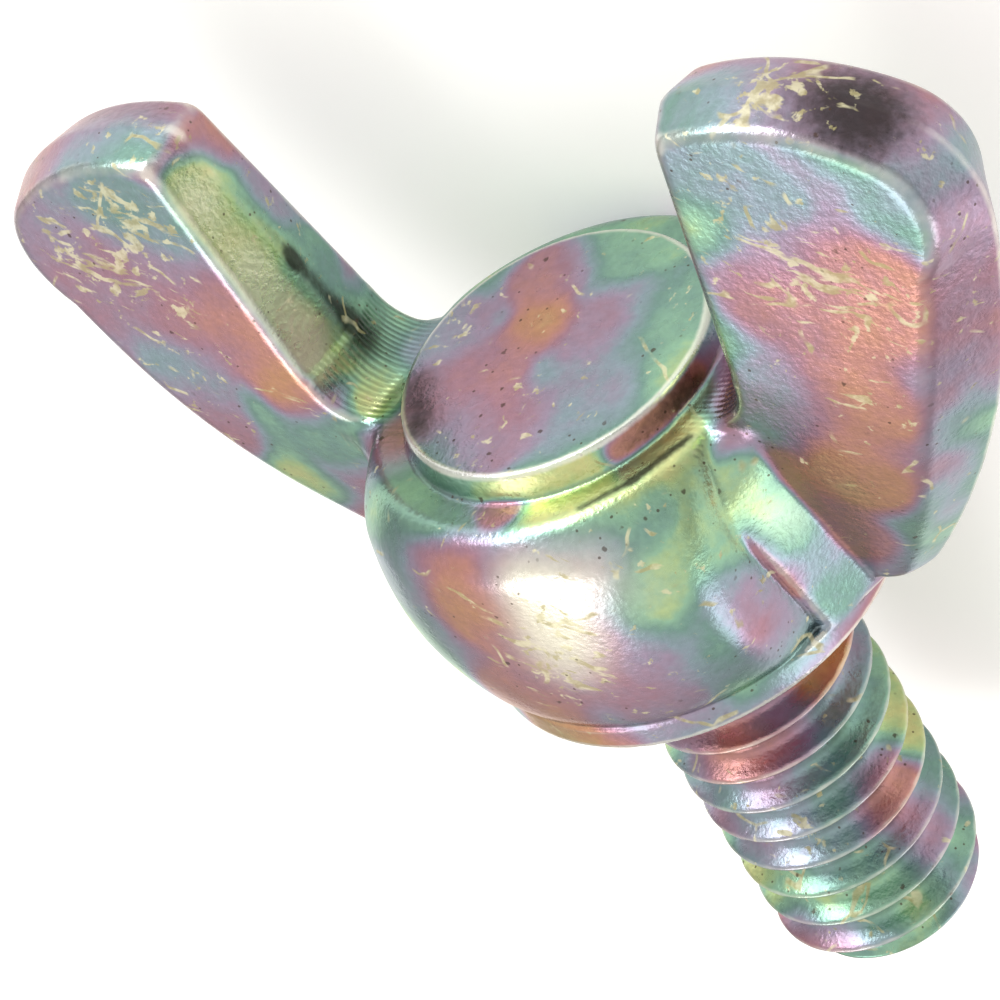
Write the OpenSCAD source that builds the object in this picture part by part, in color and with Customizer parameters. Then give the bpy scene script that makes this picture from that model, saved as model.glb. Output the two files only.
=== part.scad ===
// Wing bolt: a short threaded shank and a cold-forged head with two raised wings, all one solid.
// The bolt is drawn upright, bearing face on z = 0 and wings up, and is then laid down as it comes
// to rest: on a flat of the hub, wings level, head towards -Y and thread towards +Y.
// The origin is the middle of the rectangle that it covers, on the surface it lies on.

/* [Thread] */
// Major diameter of the thread (1/4-20 UNC)
thread_d = 6.35; // [5.5:0.05:9]
// Length of full thread under the bearing face
thread_len = 12.7; // [8:0.1:60]
// Length of the rolled point beyond the full thread
point_len = 0.8; // [0.4:0.1:2]
// Diameter of the flat end of the point
point_d = 5.3; // [3:0.1:5.4]

/* [Hub] */
// Diameter of the bearing collar under the hub
collar_d = 11.7; // [10.5:0.1:13]
// Thickness of the bearing collar
collar_t = 0.8; // [0.4:0.1:1.5]
// Diameter of the hub at its fullest, across the four rounded corners
hub_d = 13.4; // [13.2:0.1:16]
// Height at which the hub is fullest
belly_h = 4; // [2.5:0.1:5]
// How far the flats on the front and on the back are pressed into the round hub
front_flat = 0.5; // [0.2:0.05:0.8]
// How far the flats beside the wings are pressed into the round hub
side_flat = 1.35; // [0.8:0.05:1.6]
// Height of the shoulder, where the side of the hub turns in
shoulder_h = 6.7; // [5.5:0.1:7]
// How far the hub has drawn in from its fullest at the shoulder
shoulder_in = 0.4; // [0.1:0.05:0.8]
// Width of the rounded shoulder, in to the ledge
shoulder_w = 0.9; // [0.5:0.05:1.2]
// Height of the flat ledge on top of the hub
ledge_h = 7.7; // [7.3:0.1:9]
// Diameter of the round boss on the ledge
boss_d = 8.4; // [6:0.1:9]
// Height of the boss above the ledge
boss_h = 0.75; // [0.3:0.05:1.5]
// Bevel round the top edge of the boss
boss_bevel = 0.15; // [0.05:0.05:0.25]

/* [Root pads] */
// Width of the raised pad that each wing grows from, across its outer corners
pad_w = 5.4; // [4.6:0.1:6.4]
// Width of the pad where it meets the faces of the wing
pad_neck_w = 2.2; // [1.6:0.1:3]
// How far the pad stands out past the flat beside it
pad_step = 0.2; // [0.1:0.05:0.4]
// How far the pad slopes out from its corners to the wing
pad_slope = 0.8; // [0.4:0.05:1.2]

/* [Wings] */
// Span over the outer edges of the wings
span = 28.1; // [24:0.1:36]
// Height of the crests above the bearing face
wing_h = 16.6; // [14:0.1:22]
// Gap between the inner edges at the height of the crests
tip_gap = 14.2; // [12:0.1:16]
// Gap between the inner edges at the ledge
root_gap = 11.4; // [10.5:0.1:12.6]
// Thickness of the wings at the tips
tip_t = 2.5; // [1.8:0.1:3.2]
// Thickness of the wings at the ledge
root_t = 4; // [3.4:0.1:5]
// How far the ridge of the inner edge stands out from the faces
inner_crown = 0.5; // [0.2:0.05:0.8]
// How far the ridge of the outer edge stands out from the faces
outer_crown = 0.75; // [0.4:0.05:1]
// Bow of the outer edge away from a straight line
edge_bow = 1.2; // [0.6:0.1:1.6]
// Distance of the crest in from the outermost point of the wing
crest_in = 4.7; // [4:0.1:5]
// Fall of the tip from the crest to the inner corner
inner_drop = 0.5; // [0.2:0.1:1]
// Fall of the tip from the crest to the outermost point of the wing
outer_drop = 2.9; // [2:0.1:4]
// Radius of the outer corner of the tip
corner_r = 1.4; // [0.8:0.1:2]
// Bow of the sloping end of the tip
tip_bow = 0.3; // [0.1:0.05:0.5]
// Height at which the flat faces of the wing run out into its outer edge
face_foot = 4.6; // [4:0.1:6]

/* [Root web] */
// Height of the hollow web between the ledge and the inner edge of the wing
web_h = 2; // [1:0.1:2.6]
// How far the web reaches in from the edge of the ledge
web_in = 0.5; // [0.2:0.05:0.8]
// Depth of the hollow in the web
web_hollow = 0.4; // [0.1:0.05:0.6]
// Thickness of the web
web_t = 3.4; // [2.4:0.1:4]

/* [Hidden] */
$fn = 64;

// Thickness of the layers that a wing is stretched over
skin = 0.02;
// How far outside the collar the outer edge of a wing starts
edge_start = 0.4;
// Where the outer corner of a tip starts and ends, in degrees above the level line
corner_low = -20;
corner_high = 50;
// Number of straight steps in each arc
steps = 10;
// Depth to which pieces that fuse run into each other
fuse = 1;

hub_r = hub_d / 2;
front_y = hub_r - front_flat;
side_x = hub_r - side_flat;
pad_x = side_x + pad_step;
ledge_r = hub_r - shoulder_in - shoulder_w;
boss_top = ledge_h + boss_h;
shank_len = thread_len + point_len;
face_draft = atan((root_t - tip_t) / 2 / (wing_h - ledge_h));

// Points of an arc from p to q that bows out by the given height on the right-hand side of that way
function arc(p, q, bow) =
    let (
        way = q - p,
        chord = norm(way),
        r = (chord * chord / 4 + bow * bow) / (2 * bow),
        centre = (p + q) / 2 - [way[1], -way[0]] / chord * (r - bow),
        start = atan2(p[1] - centre[1], p[0] - centre[0]),
        sweep = 2 * asin(min(1, chord / 2 / r))
    )
    [
        for (i = [0:steps])
            let (a = start + sweep * i / steps)
                centre + r * [cos(a), sin(a)]
    ];

// Bow of an arc whose ends are this far apart, and which at one end runs along the second distance
function bow_along(across, along) = norm([across, along]) / 2 * tan(atan2(across, along) / 2);

// Distance of the ridge of the inner edge from the axis at height z
function inner_x(z) = (root_gap + (tip_gap - root_gap) * (z - ledge_h) / (wing_h - ledge_h)) / 2;

// Outline of a wing: up the outer edge from its foot, round the tip and down the inner edge
function wing_outline(inner_inset, outer_inset, foot) =
    let (
        outermost = [span / 2 - outer_inset, wing_h - outer_drop],
        corner = [
            for (i = [0:steps])
                let (a = corner_low + (corner_high - corner_low) * i / steps)
                    outermost + corner_r * [cos(a) - 1, sin(a)]
        ],
        corner_end = corner[steps],
        crest = [span / 2 - crest_in, wing_h],
        slope = crest - corner_end,
        inner_z = wing_h - inner_drop,
        inner_end = [inner_x(inner_z) + inner_inset, inner_z]
    )
    concat(
        arc(foot, corner[0], edge_bow),
        corner,
        arc(corner_end, crest, min(tip_bow, bow_along(slope[1], -slope[0]))),
        arc(crest, inner_end, bow_along(inner_drop, crest[0] - inner_end[0])),
        [[inner_x(foot[1]) + inner_inset, foot[1]]]
    );

// Half section of the hub: full side, rounded shoulder, ledge and boss
function hub_section() =
    let (
        foot = [collar_d / 2, collar_t],
        belly = [hub_r, belly_h],
        shoulder = [hub_r - shoulder_in, shoulder_h],
        rim = [ledge_r, ledge_h]
    )
    concat(
        [[0, 0], [collar_d / 2, 0]],
        arc(foot, belly, bow_along(belly[0] - foot[0], belly_h - collar_t)),
        arc(belly, shoulder, bow_along(shoulder_in, shoulder_h - belly_h)),
        arc(shoulder, rim, bow_along(shoulder_w, ledge_h - shoulder_h) * 3 / 4),
        [
            [boss_d / 2, ledge_h],
            [boss_d / 2, boss_top - boss_bevel],
            [boss_d / 2 - boss_bevel, boss_top],
            [0, boss_top]
        ]
    );

// One quarter of the hub's plan, from the side of a wing round to the front flat
function hub_quarter() =
    [
        [hub_r + fuse, pad_neck_w / 2],
        [pad_x + pad_slope, pad_neck_w / 2],
        [pad_x, pad_w / 2],
        [side_x, pad_w / 2],
        [side_x, front_y]
    ];

// A quarter's points, mirrored by signs, in the order that goes round the hub
function turned(points, sx, sy) =
    let (n = len(points) - 1)
    [
        for (i = [0:n])
            let (p = points[sx * sy > 0 ? i : n - i])
                [sx * p[0], sy * p[1]]
    ];

function hub_plan() =
    concat(
        turned(hub_quarter(), 1, 1),
        turned(hub_quarter(), -1, 1),
        turned(hub_quarter(), -1, -1),
        turned(hub_quarter(), 1, -1)
    );

// Full-diameter cylinder of the thread, with its tapered point
module shank() {
    translate([0, 0, -thread_len])
        cylinder(d = thread_d, h = thread_len + fuse);
    translate([0, 0, -shank_len])
        cylinder(d1 = point_d, d2 = thread_d, h = point_len);
}

// Round hub pressed flat on four sides, with the pads that the wings grow from
module hub() {
    cylinder(d = collar_d, h = collar_t);
    intersection() {
        rotate_extrude()
            polygon(hub_section());
        linear_extrude(height = boss_top + fuse)
            polygon(hub_plan());
    }
}

// Thin upright layer of an outline that is drawn in x and z
module layer(points) {
    rotate([90, 0, 0])
        linear_extrude(height = skin, center = true)
            polygon(points);
}

// Wing on the +X side: ridged edges on the middle plane, and two flat faces that draft together
module wing() {
    hull() {
        layer(wing_outline(0, 0, [collar_d / 2 + edge_start, collar_t]));
        for (side = [-1, 1])
            translate([0, side * tip_t / 2, wing_h])
                rotate([side * face_draft, 0, 0])
                    translate([0, 0, -wing_h])
                        layer(wing_outline(inner_crown, outer_crown, [collar_d / 2, face_foot]));
    }
}

// Hollow web that carries the inner edge of the wing down on to the ledge
module root_web() {
    top = [inner_x(ledge_h + web_h) + inner_crown, ledge_h + web_h];
    rotate([90, 0, 0])
        linear_extrude(height = web_t, center = true)
            polygon(concat(
                arc(top, [ledge_r - web_in, ledge_h], web_hollow),
                [[ledge_r - web_in, ledge_h - fuse], [top[0], ledge_h - fuse]]
            ));
}

module wing_bolt() {
    color("darkkhaki")
        translate([0, (wing_h - shank_len) / 2, min(front_y, hub_r)])
            rotate([90, 180, 0]) {
                shank();
                hub();
                for (side = [0, 1])
                    mirror([side, 0, 0]) {
                        wing();
                        root_web();
                    }
            }
}

wing_bolt();
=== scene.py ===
"""Wing bolt: a cold-forged head with two wings on a short rolled thread, zinc plated and chromated.

The shapes are worked out in the bolt's own frame, in millimetres: the bearing face is z = 0, the head
stands towards +z, the wings lie along x and the thread hangs towards -z. Pose lays the finished
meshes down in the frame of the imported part, in metres.
"""

import logging
import math
from dataclasses import dataclass, field
from enum import Enum

import bpy
import numpy as np
from mathutils import Matrix, Vector


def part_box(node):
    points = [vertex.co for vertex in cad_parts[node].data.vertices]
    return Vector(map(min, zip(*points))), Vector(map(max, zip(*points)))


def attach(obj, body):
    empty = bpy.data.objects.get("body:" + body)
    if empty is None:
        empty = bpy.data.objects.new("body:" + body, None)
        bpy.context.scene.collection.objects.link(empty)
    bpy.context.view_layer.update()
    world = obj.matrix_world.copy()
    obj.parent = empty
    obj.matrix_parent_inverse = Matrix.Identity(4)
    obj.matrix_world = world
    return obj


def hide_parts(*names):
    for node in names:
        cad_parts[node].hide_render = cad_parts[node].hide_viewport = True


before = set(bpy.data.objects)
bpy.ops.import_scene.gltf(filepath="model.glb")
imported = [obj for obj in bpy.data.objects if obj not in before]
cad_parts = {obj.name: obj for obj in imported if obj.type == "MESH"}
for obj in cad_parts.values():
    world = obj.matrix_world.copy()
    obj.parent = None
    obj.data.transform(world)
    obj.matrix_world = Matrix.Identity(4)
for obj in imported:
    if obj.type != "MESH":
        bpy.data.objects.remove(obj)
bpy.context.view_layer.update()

LOG = logging.getLogger("wing_bolt")
MM = 0.001
NODE = "wing_bolt"
BODY = "root"

Array = np.ndarray
Triple = tuple[float, float, float]
Socket = bpy.types.NodeSocket
SMOOTH = {"interpolation_type": "SMOOTHSTEP"}


# --------------------------------------------------------------------------------------------------
# Small tools for shapes
# --------------------------------------------------------------------------------------------------


def smooth_max(a: Array, b: Array, width: float) -> Array:
    """The larger of two distances, with a round inside corner where they are within width.

    Args:
        a: First distance field.
        b: Second distance field.
        width: Difference over which the two blend, in millimetres.

    Returns:
        max(a, b) plus a quarter of the width at most, as a parabola in their difference.
    """
    share = np.clip(0.5 + 0.5 * (a - b) / width, 0.0, 1.0)
    return b + (a - b) * share + width * share * (1.0 - share)


def smooth_min(a: Array, b: Array, width: Array | float) -> Array:
    """The smaller of two distances, with a fillet where they are within width.

    Args:
        a: First distance field.
        b: Second distance field.
        width: Difference over which the two blend, in millimetres. It may vary from point to point.

    Returns:
        min(a, b) less a quarter of the width at most, as a parabola in their difference.
    """
    share = np.clip(0.5 + 0.5 * (b - a) / width, 0.0, 1.0)
    return b + (a - b) * share - width * share * (1.0 - share)


def smooth_step(low: float, high: float, value: Array) -> Array:
    """Rises from 0 at low to 1 at high, level at both ends: 3t^2 - 2t^3."""
    share = np.clip((value - low) / (high - low), 0.0, 1.0)
    return share * share * (3.0 - 2.0 * share)


@dataclass(frozen=True)
class Pose:
    """How the bolt lies: on the flat of its hub, head towards -y and thread towards +y."""

    rise: float
    shift: float

    def place(self, points: Array) -> Array:
        """Points in the bolt's frame, in mm, as points in the part's frame, in metres.

        Args:
            points: Array of shape (n, 3).

        Returns:
            Array of the same shape: x and y are turned over and z becomes -y.
        """
        x, y, z = points.T
        return np.column_stack([-x, self.shift - z, self.rise - y]) * MM

    def lift(self, places: Array) -> Array:
        """Points in the part's frame, in metres, as points in the bolt's frame, in mm."""
        x, y, z = places.T / MM
        return np.column_stack([-x, self.rise - z, self.shift - y])

    def turn(self, directions: Array) -> Array:
        """Directions in the bolt's frame as directions in the part's frame."""
        x, y, z = directions.T
        return np.column_stack([-x, -z, -y])


# --------------------------------------------------------------------------------------------------
# The forged head
# --------------------------------------------------------------------------------------------------


@dataclass
class Hub:
    """The round-cornered hub with its bearing collar, shoulder, ledge and boss, in millimetres."""

    collar_r: float = 5.85
    collar_t: float = 0.8
    foot_h: float = 0.5  # the hub's own foot, inside the collar
    tuck_h: float = 1.4  # below this the side tucks in over the collar,
    tuck: float = 0.35  # by this times the square of the depth
    belly_r: float = 6.7  # the side at its fullest, across the rounded corners
    belly_h: float = 4.0
    below_bow: float = 12.6  # the side draws in by the square of the height over this
    above_bow: float = 18.2  # and the same above the belly
    shoulder_h: float = 6.3  # where the side turns in,
    shoulder_fall: float = 0.6  # by this much at the ledge
    ledge_h: float = 7.7
    front_flat: float = 6.45  # the flats in front and behind, from the axis
    front_bow: float = 0.03  # they open out by this times the square of the height
    front_round: float = 1.4  # width of the corners between flats and side
    side_flat: float = 5.17  # the flats beside the wings, from the axis
    side_round: float = 0.6
    boss_r: float = 4.2
    boss_flare: float = 0.25  # how far the boss widens in a millimetre down
    boss_h: float = 0.75
    edge: float = 0.22  # width of the ledge's and the foot's rounding
    rim: float = 0.14  # width of the boss's and the collar's rounding
    side_lean: float = 0.9  # the radial distance over the true one, by the side's slope
    join: float = 0.15  # width of the fillets between hub, boss and collar

    def side(self, z: Array) -> Array:
        """Radius of the hub's round side.

        Args:
            z: Height above the bearing face.

        Returns:
            The belly's radius less the square of the distance above or below it over a bow, less the
            square of the distance past the shoulder and of that below the tuck over the collar.
        """
        below = (self.belly_h - z) ** 2 / self.below_bow
        above = (z - self.belly_h) ** 2 / self.above_bow
        past = np.maximum(z - self.shoulder_h, 0.0) / (self.ledge_h - self.shoulder_h)
        tuck = self.tuck * np.maximum(self.tuck_h - z, 0.0) ** 2
        bow = np.where(z < self.belly_h, below, above)
        return self.belly_r - bow - self.shoulder_fall * past**2 - tuck

    def distance(self, x: Array, y: Array, z: Array) -> Array:
        """Signed distance to the hub, boss and collar together.

        Args:
            x: Position along the wings.
            y: Position across the wings.
            z: Height above the bearing face.

        Returns:
            Negative inside. The hub is the revolved side, whose radial distance side_lean scales for
            its slope, cut by two pairs of flats, the ledge and the foot. The boss is a flared
            cylinder on the ledge, and the collar a disc.
        """
        r = np.hypot(x, y)
        body = (r - self.side(z)) * self.side_lean
        front = self.front_flat + self.front_bow * (z - self.belly_h) ** 2
        body = smooth_max(body, np.abs(y) - front, self.front_round)
        body = smooth_max(body, np.abs(x) - self.side_flat, self.side_round)
        body = smooth_max(body, z - self.ledge_h, self.edge)
        body = smooth_max(body, self.foot_h - z, self.edge)
        boss_top = self.ledge_h + self.boss_h
        flare = self.boss_flare * np.minimum(boss_top - z, 2.0 * self.boss_h)
        boss = smooth_max(r - self.boss_r - flare, z - boss_top, self.rim)
        boss = np.maximum(boss, self.belly_h - z)
        collar = np.abs(z - self.collar_t / 2.0) - self.collar_t / 2.0
        collar = smooth_max(r - self.collar_r, collar, self.rim)
        return smooth_min(smooth_min(body, boss, self.join), collar, self.join)


@dataclass
class RootPad:
    """The raised strip at each root, which turns from facing sideways at its foot to forwards higher up."""

    corner_x: float = 5.42  # the outer corner, along the wings,
    corner_x_fall: float = 0.5  # draws in by this
    corner_x_falls: tuple[float, float] = (3.4, 6.8)  # between these heights
    corner_y: float = 2.1  # the corner's half width at the bearing face
    corner_y_rise: float = 0.19  # and its gain in a millimetre up
    top_y: float = 3.3  # half width where the pad starts to narrow,
    top_h: float = 6.2  # its height
    top_fall: float = 0.75  # and its loss in a millimetre up from there
    top_round: float = 0.4
    neck_x: float = 6.12  # the neck, where the pad meets the wing
    neck_bow: float = 0.0075  # it draws in by this times the square of the distance
    neck_h: float = 3.0  # from this height
    neck_y: float = 0.6
    root: float = 0.5  # how far the pad reaches into the wing
    edge: float = 0.22
    top_edge: float = 0.7

    def distance(self, x: Array, y: Array, z: Array, low: float, high: float) -> Array:
        """Signed distance to the four pads, mirrored in x and in y.

        Args:
            x: Position along the wings.
            y: Position across the wings.
            z: Height above the bearing face.
            low: Height of the pads' feet.
            high: Height of their tops.

        Returns:
            Negative inside. At each height the face is the line from the corner to the neck. The
            corner moves out with height and back again near the top, and the neck draws in by the
            square of the distance from the height where it is fullest.
        """
        ax, ay = np.abs(x), np.abs(y)
        corner_x = self.corner_x - self.corner_x_fall * smooth_step(*self.corner_x_falls, z)
        rising = self.corner_y + self.corner_y_rise * z
        falling = self.top_y - self.top_fall * (z - self.top_h)
        corner_y = smooth_min(rising, falling, self.top_round)
        neck_x = self.neck_x - self.neck_bow * (z - self.neck_h) ** 2
        neck_y = self.neck_y + self.corner_y_rise * z
        across, along = corner_y - neck_y, neck_x - corner_x
        face = ((ax - corner_x) * across + (ay - corner_y) * along) / np.hypot(across, along)
        pad = smooth_max(face, ay - corner_y, self.edge)
        pad = smooth_max(pad, ax - neck_x - self.root, self.edge)
        pad = smooth_max(pad, z - high, self.top_edge)
        return smooth_max(pad, low - z, self.edge)


@dataclass
class Wing:
    """One wing, mirrored in x: two drafted faces between ridged edges on the parting plane.

    Half thickness is measured from the parting plane, and its gains are shares of the way.
    """

    edge_centre: tuple[float, float] = (-12.02, 18.99)  # the outer edge's arc, in x and z
    edge_r: float = 26.62
    tip_centre: tuple[float, float] = (9.0, 10.15)  # the tip's arc, straight below its centre
    tip_r: float = 6.45
    corner: float = 1.4  # width of the round between the two
    inner_foot: tuple[float, float] = (5.7, 7.7)  # the inner edge's line, from here
    inner_top: tuple[float, float] = (7.1, 16.2)  # to here
    tip_half: float = 1.25  # half thickness at top_h
    draft: float = 0.0843  # and its gain in a millimetre down
    top_h: float = 16.6
    edge_slope: float = 1.45  # gain of half thickness in a millimetre in from the outer edge,
    tip_slope: float = 4.0  # from the tip
    inner_slope: float = 3.8  # and from the inner edge
    ridge_half: float = 0.2  # half thickness right at an edge
    foot_half: float = 0.55  # the foot's half thickness at the bearing face
    foot_draft: float = 0.205  # and its gain in a millimetre up
    foot_blend: float = 0.8  # width over which the two drafts blend
    arris: float = 0.3  # width of the rounding where faces meet
    parting: float = 0.08  # round of the ridge on the parting plane
    web_r: float = 1.45  # the hollow web under the inner edge: its radius
    web_h: float = 7.7  # and its foot, on the ledge
    web_edge: float = 0.2

    def distance(self, x: Array, y: Array, z: Array, low: float) -> Array:
        """Signed distance to the two wings.

        Args:
            x: Position along the wings.
            y: Position across the wings.
            z: Height above the bearing face.
            low: Height of the wings' feet.

        Returns:
            Negative inside. The half thickness is the least of the drafted face, which drafts the
            other way at its foot, and three slopes that rise from the outer edge, the tip and the
            inner edge in proportion to the distance from each. The outer edge is an arc, the tip an
            arc and the inner edge a line that a quarter round carries on to the ledge.
        """
        ax = np.abs(x)
        ay = np.sqrt(y * y + self.parting**2)
        outer = np.hypot(ax - self.edge_centre[0], z - self.edge_centre[1]) - self.edge_r
        over = np.maximum(z - self.tip_centre[1], 0.0)
        tip = np.hypot(ax - self.tip_centre[0], over) - self.tip_r
        rim = smooth_max(outer, tip, self.corner)
        at_tip = np.clip(0.5 + 0.5 * (tip - outer) / self.corner, 0.0, 1.0)
        slope = self.edge_slope + (self.tip_slope - self.edge_slope) * at_tip
        edge = (ay - self.ridge_half + slope * rim) / np.sqrt(1.0 + slope * slope)
        run = np.subtract(self.inner_top, self.inner_foot)
        run = run / np.hypot(*run)
        inner = (z - self.inner_foot[1]) * run[0] - (ax - self.inner_foot[0]) * run[1]
        inside = (ay - self.ridge_half + self.inner_slope * inner) / math.hypot(1.0, self.inner_slope)
        face = ay - self.tip_half - self.draft * (self.top_h - z)
        foot = ay - self.foot_half - self.foot_draft * z
        face = smooth_max(face, foot, self.foot_blend)
        centre_z = self.web_h + self.web_r
        foot_x = self.inner_foot[0] + (centre_z - self.inner_foot[1]) * run[0] / run[1]
        centre_x = foot_x - self.web_r + (ay - self.ridge_half) / self.inner_slope
        hollow = self.web_r - np.hypot(ax - centre_x, z - centre_z)
        web = smooth_max(hollow, np.maximum(centre_x - ax, z - centre_z), self.web_edge)
        inside = smooth_min(inside, web, self.web_edge)
        wing = smooth_max(smooth_max(face, edge, self.arris), inside, self.arris)
        return smooth_max(wing, low - z, self.arris)


@dataclass
class ForgedHead:
    """The head: hub, root pads and wings in one skin."""

    hub: Hub = field(default_factory=Hub)
    pad: RootPad = field(default_factory=RootPad)
    wing: Wing = field(default_factory=Wing)
    step: float = 0.1135  # side of the net's cubes
    reach: tuple[float, float, float] = (14.4, 6.9, 17.0)  # the box's far corner; it is even about the axis
    under: float = 0.3  # and goes this far under the bearing face
    crease: float = 0.12  # width of the fillets between hub, pads and wings
    drawn_at: tuple[float, float] = (5.4, 8.5)  # the drawn webs, in x and z
    drawn_reach: float = 0.65
    least_slope: float = 0.05  # least slope squared that a point is moved by
    triangles: int = 190_000

    def distance(self, x: Array, y: Array, z: Array) -> Array:
        """Signed distance to the head, joined by a fillet in each crease.

        Args:
            x: Position along the wings.
            y: Position across the wings.
            z: Height above the bearing face.

        Returns:
            Negative inside, in millimetres. The wing meets the hub in a tight crease at its faces
            and, above the ledge, in a wide hollow web under its inner edge.
        """
        hub = self.hub.distance(x, y, z)
        pad = self.pad.distance(x, y, z, self.hub.foot_h, self.hub.ledge_h)
        wing = self.wing.distance(x, y, z, self.hub.collar_t)
        return smooth_min(smooth_min(hub, pad, self.crease), wing, self.crease)

    def gradient(self, points: Array, reach: float = 0.01) -> Array:
        """Slope of the distance, from differences over a short reach to either side.

        Args:
            points: Array of shape (n, 3).
            reach: The reach, in millimetres.

        Returns:
            Array of the same shape, about one long and outwards.
        """
        columns = []
        for axis in np.eye(3) * reach:
            ahead, behind = (points + axis).T, (points - axis).T
            columns.append((self.distance(*ahead) - self.distance(*behind)) / (2.0 * reach))
        return np.column_stack(columns)

    def settle(self, points: Array, rounds: int = 3) -> Array:
        """Points moved on to the skin.

        Args:
            points: Array of shape (n, 3).
            rounds: How often they are moved.

        Returns:
            The points, each moved along its own slope by its distance over its slope squared.
        """
        for _ in range(rounds):
            slope = self.gradient(points)
            steep = np.maximum((slope * slope).sum(axis=1), self.least_slope)
            points = points - slope * (self.distance(*points.T) / steep)[:, None]
        return points

    def drawn(self, points: Array) -> Array:
        """How far the die has drawn lines in the web between each wing and the ledge.

        Args:
            points: Points on the skin.

        Returns:
            From 0 to 1, a bell curve of the distance from the web along the wings and in height.
        """
        x, _, z = np.abs(points.T)
        along = np.exp(-(((x - self.drawn_at[0]) / self.drawn_reach) ** 2))
        return along * np.exp(-(((z - self.drawn_at[1]) / self.drawn_reach) ** 2))

    def bend(self, points: Array, reach: float = 0.12) -> Array:
        """How sharply the skin bends at points: the spread of its unit normals, per millimetre.

        Args:
            points: Points on the skin.
            reach: Distance over which the normals are compared, in millimetres.

        Returns:
            Positive on outward edges, negative in creases.
        """
        total = np.zeros(len(points))
        for axis, step in enumerate(np.eye(3) * reach):
            ahead, behind = self.gradient(points + step), self.gradient(points - step)
            ahead = ahead[:, axis] / np.linalg.norm(ahead, axis=1)
            behind = behind[:, axis] / np.linalg.norm(behind, axis=1)
            total += (ahead - behind) / (2.0 * reach)
        return total

    def skin(self) -> tuple[Array, Array]:
        """A net of quads over the skin.

        Returns:
            Points and quads. The head's box is cut into cubes. Each cube that the skin crosses has
            one point, the mean of where the skin cuts its edges, and each cube edge that it cuts has
            a quad between the four cubes round it.
        """
        lows = np.array([-self.reach[0], -self.reach[1], -self.under])
        highs = np.array(self.reach)
        counts = np.ceil((highs - lows) / self.step).astype(int) + 1
        axes = [low + self.step * np.arange(n) for low, n in zip(lows, counts)]
        x, y, z = np.meshgrid(*axes, indexing="ij", sparse=True)
        values = self.distance(x, y, z)
        within = values < 0.0
        corners = [(i, j, k) for i in (0, 1) for j in (0, 1) for k in (0, 1)]
        nx, ny, nz = values.shape
        filled = np.zeros((nx - 1, ny - 1, nz - 1), dtype=np.int8)
        for i, j, k in corners:
            filled += within[i : nx - 1 + i, j : ny - 1 + j, k : nz - 1 + k]
        cells = np.argwhere((filled > 0) & (filled < len(corners)))
        numbers = np.full(filled.shape, -1, dtype=np.int64)
        numbers[tuple(cells.T)] = np.arange(len(cells))
        total, crossings = np.zeros((len(cells), 3)), np.zeros(len(cells))
        for start in corners:
            for axis in range(3):
                if start[axis]:
                    continue
                first = cells + start
                second = first + np.eye(3, dtype=int)[axis]
                a, b = values[tuple(first.T)], values[tuple(second.T)]
                cut = (a < 0.0) != (b < 0.0)
                share = np.where(cut, a / np.where(cut, a - b, 1.0), 0.0)
                total += np.where(cut[:, None], first + share[:, None] * (second - first), 0.0)
                crossings += cut
        points = lows + self.step * total / crossings[:, None]
        quads = []
        for axis in range(3):
            a, b = (axis + 1) % 3, (axis + 2) % 3
            head, tail = [slice(1, -1)] * 3, [slice(1, -1)] * 3
            head[axis], tail[axis] = slice(0, -1), slice(1, None)
            here, there = within[tuple(head)], within[tuple(tail)]
            edges = np.argwhere(here != there)
            outwards = here[tuple(edges.T)]
            edges[:, a] += 1
            edges[:, b] += 1
            rings = []
            for da, db in ((1, 1), (0, 1), (0, 0), (1, 0)):
                cell = edges.copy()
                cell[:, a] -= da
                cell[:, b] -= db
                rings.append(numbers[tuple(cell.T)])
            ring = np.column_stack(rings)
            quads.append(np.where(outwards[:, None], ring, ring[:, ::-1]))
        return points, np.vstack(quads)


# --------------------------------------------------------------------------------------------------
# The rolled thread
# --------------------------------------------------------------------------------------------------


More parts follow.
